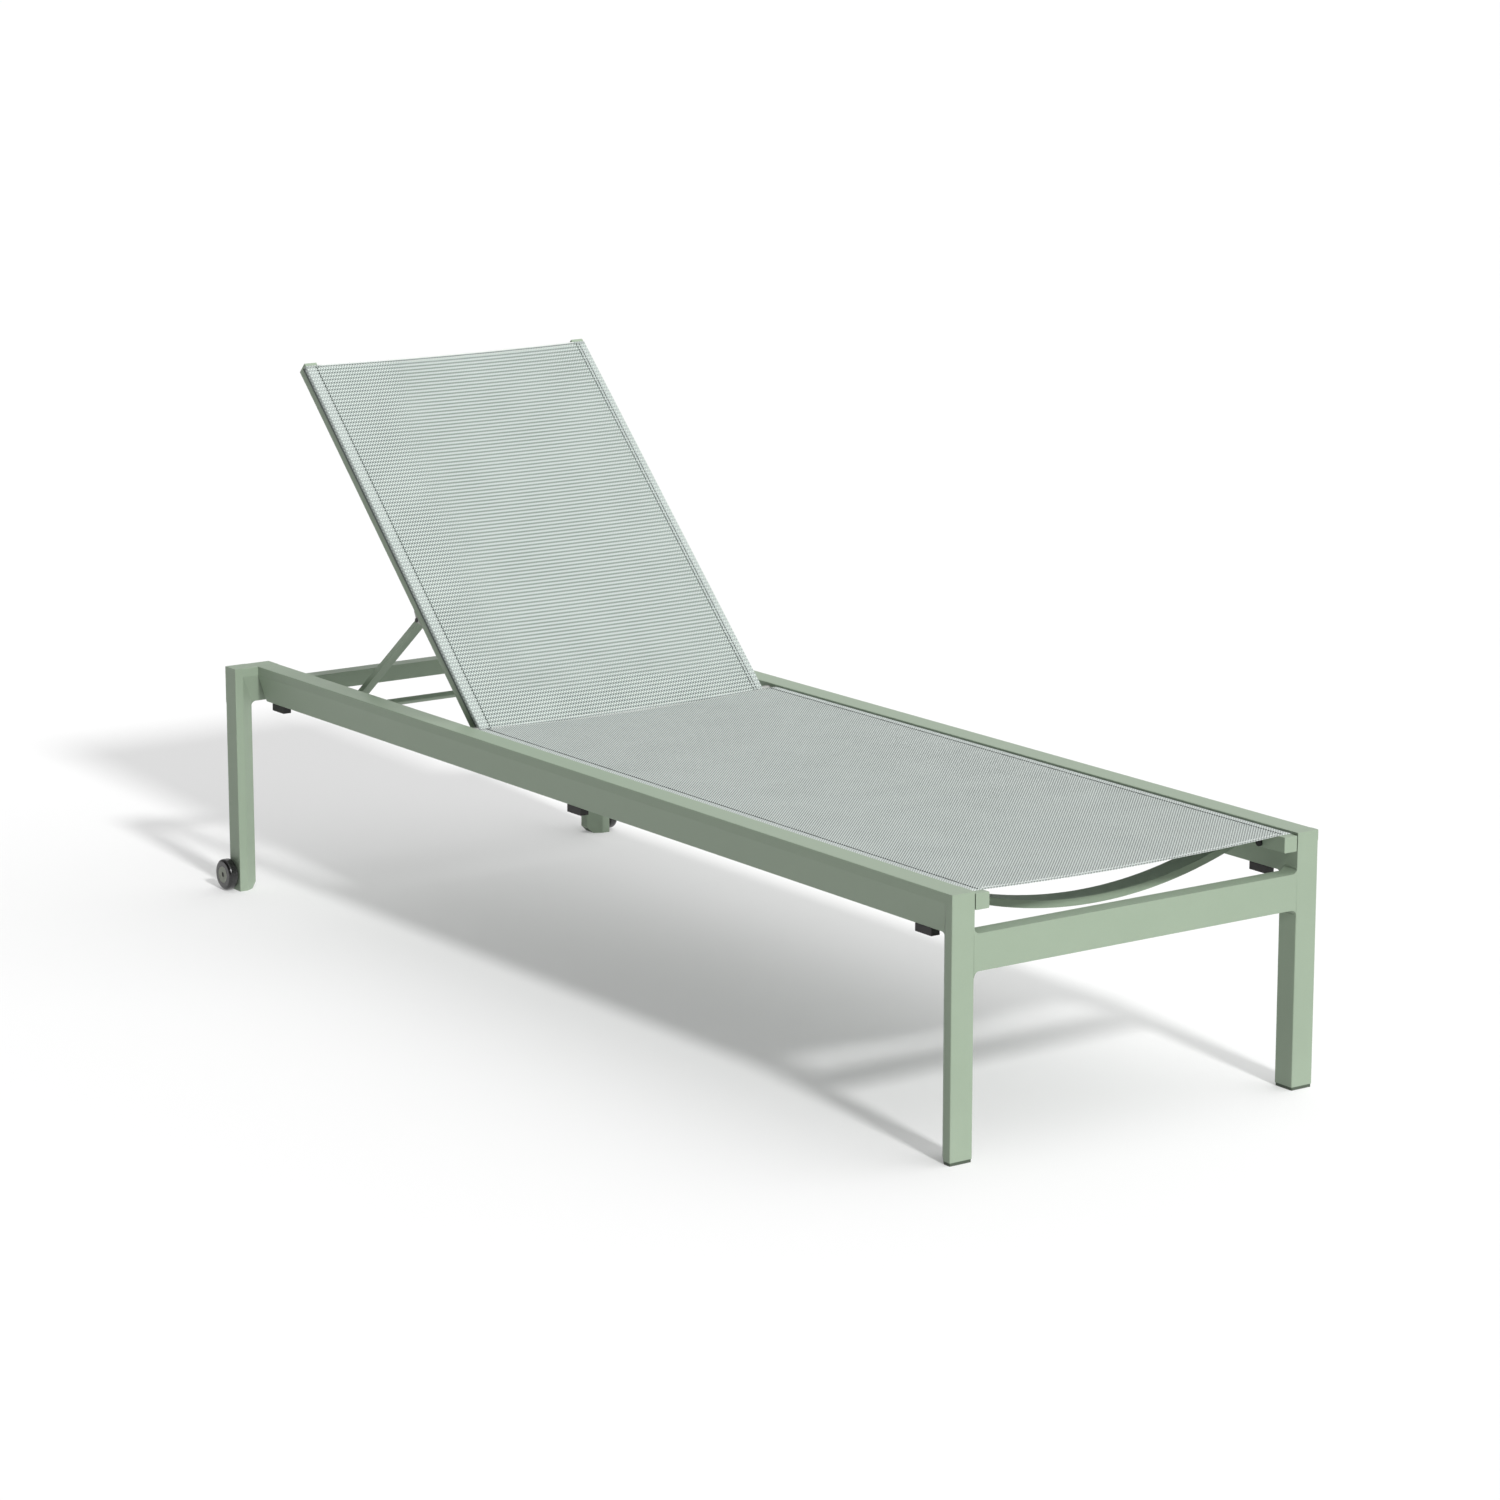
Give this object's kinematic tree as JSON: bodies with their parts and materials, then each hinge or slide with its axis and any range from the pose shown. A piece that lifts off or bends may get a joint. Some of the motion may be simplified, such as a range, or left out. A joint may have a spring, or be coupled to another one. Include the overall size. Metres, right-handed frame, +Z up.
{
  "type": "reclining sun lounger",
  "caption": "Low tube-framed sun lounger with a tight mesh fabric seat, a propped reclining fabric backrest, and small wheels at its head end.",
  "frame": {"origin": "on the floor, under the centre of the lounger's overall box", "axes": "+X across to the right when looking from the foot end, +Y from the foot end to the head end, +Z up"},
  "size_m": [0.8136, 2.019, 0.9285],
  "materials": {
    "powder_green": "smooth satin sage green powder coat",
    "glide_green": "dark green moulded plastic",
    "sling_fabric": "pale grey-green coated mesh weave",
    "pad_rubber": "matt dark grey rubber",
    "tyre_black": "smooth glossy black",
    "hub_grey": "grey-green moulded plastic",
    "bolt_dark": "blackened steel",
    "bracket_steel": "plain stainless steel"
  },
  "bodies": {
    "frame": {"side_rail_left": "powder_green", "side_rail_right": "powder_green", "foot_leg_left": "powder_green", "foot_leg_right": "powder_green", "foot_crossbar": "powder_green", "foot_glide_left": "glide_green", "foot_glide_right": "glide_green", "head_leg_left": "powder_green", "head_leg_right": "powder_green", "head_plug_left": "glide_green", "head_plug_right": "glide_green", "head_arm_left": "powder_green", "head_arm_right": "powder_green", "head_crossbar": "powder_green", "back_rest_pads": "pad_rubber", "stacking_pads_left": "pad_rubber", "stacking_pads_right": "pad_rubber", "seat_tube_left": "powder_green", "seat_tube_right": "powder_green", "seat_tube_caps": "powder_green", "seat_tube_spacers": "bracket_steel", "seat_tube_bolts": "bolt_dark", "seat_spreader_foot": "powder_green", "seat_spreader_middle": "powder_green", "seat_spreader_head": "powder_green", "seat_spline_left": "pad_rubber", "seat_spline_right": "pad_rubber", "seat_sling": "sling_fabric", "hinge_spacer_left": "bracket_steel", "hinge_spacer_right": "bracket_steel", "hinge_bolt_left": "bolt_dark", "hinge_bolt_right": "bolt_dark", "prop_rack_left": "bracket_steel", "prop_rack_right": "bracket_steel", "prop_rack_rivets": "bracket_steel", "wheel_axle_left": "bolt_dark", "wheel_axle_right": "bolt_dark"},
    "backrest": {"back_tube_left": "powder_green", "back_tube_right": "powder_green", "back_tube_caps": "powder_green", "back_spreader_lower": "powder_green", "back_spreader_upper": "powder_green", "back_spline_left": "pad_rubber", "back_spline_right": "pad_rubber", "back_sling": "sling_fabric", "prop_bolt_left": "bolt_dark", "prop_bolt_right": "bolt_dark", "prop_bracket_left": "bracket_steel", "prop_bracket_right": "bracket_steel"},
    "prop": {"prop_leg_left": "powder_green", "prop_leg_right": "powder_green", "prop_crossbar": "powder_green", "prop_pins": "bracket_steel"},
    "wheel_left": {"wheel_hub_left": "hub_grey", "wheel_tyre_left": "tyre_black"},
    "wheel_right": {"wheel_hub_right": "hub_grey", "wheel_tyre_right": "tyre_black"}
  },
  "joints": [
    {"name": "recline", "type": "hinge", "parent": "frame", "child": "backrest", "pos_m": [0, 0.3325, 0.3805], "axis": [1, 0, 0], "range_deg": [-44.4, 14]},
    {"name": "prop_swing", "type": "hinge", "parent": "backrest", "child": "prop", "pos_m": [0, 0.51944, 0.53977], "axis": [1, 0, 0], "range_deg": [-25.2, 79.8]},
    {"name": "wheel_spin_left", "type": "hinge", "parent": "frame", "child": "wheel_left", "pos_m": [-0.3978, 0.9825, 0.028], "axis": [1, 0, 0], "continuous": true},
    {"name": "wheel_spin_right", "type": "hinge", "parent": "frame", "child": "wheel_right", "pos_m": [0.3978, 0.9825, 0.028], "axis": [1, 0, 0], "continuous": true}
  ],
  "couplings": [
    {"joint": "prop_swing", "follows": "recline", "ratio": -1.7944}
  ]
}
